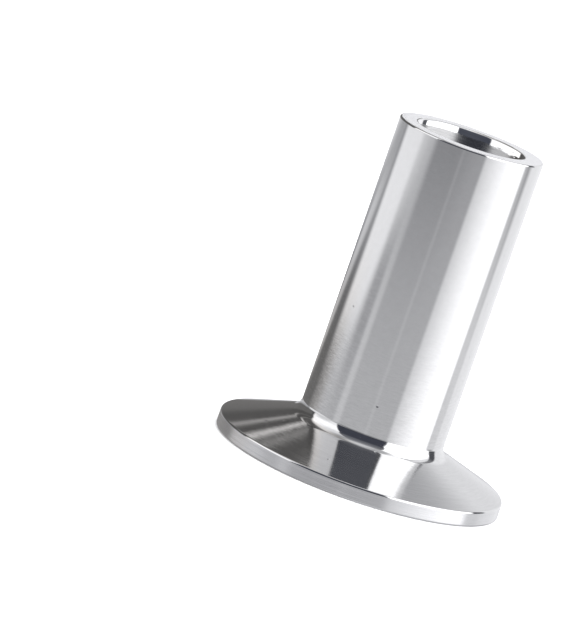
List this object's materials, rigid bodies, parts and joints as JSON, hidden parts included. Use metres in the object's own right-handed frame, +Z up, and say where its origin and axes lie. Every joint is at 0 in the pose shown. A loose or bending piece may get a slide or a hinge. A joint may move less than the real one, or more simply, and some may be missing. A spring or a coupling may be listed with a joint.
{
  "type": "sanitary clamp ferrule",
  "caption": "Turned stainless ferrule: a plain tube stub that widens into a thin round clamp flange with a sloped back and a grooved gasket face.",
  "frame": {"origin": "centre of the gasket face, on the bore's axis", "axes": "+Z up the tube, from the gasket face to the weld end; the part is round about Z"},
  "size_m": [0.0506, 0.0506, 0.06],
  "materials": {
    "stainless": "turned and polished stainless steel, fine lathe marks on the back and in the bore, satin faced ends"
  },
  "bodies": {
    "root": {"ferrule": "stainless"}
  },
  "joints": []
}
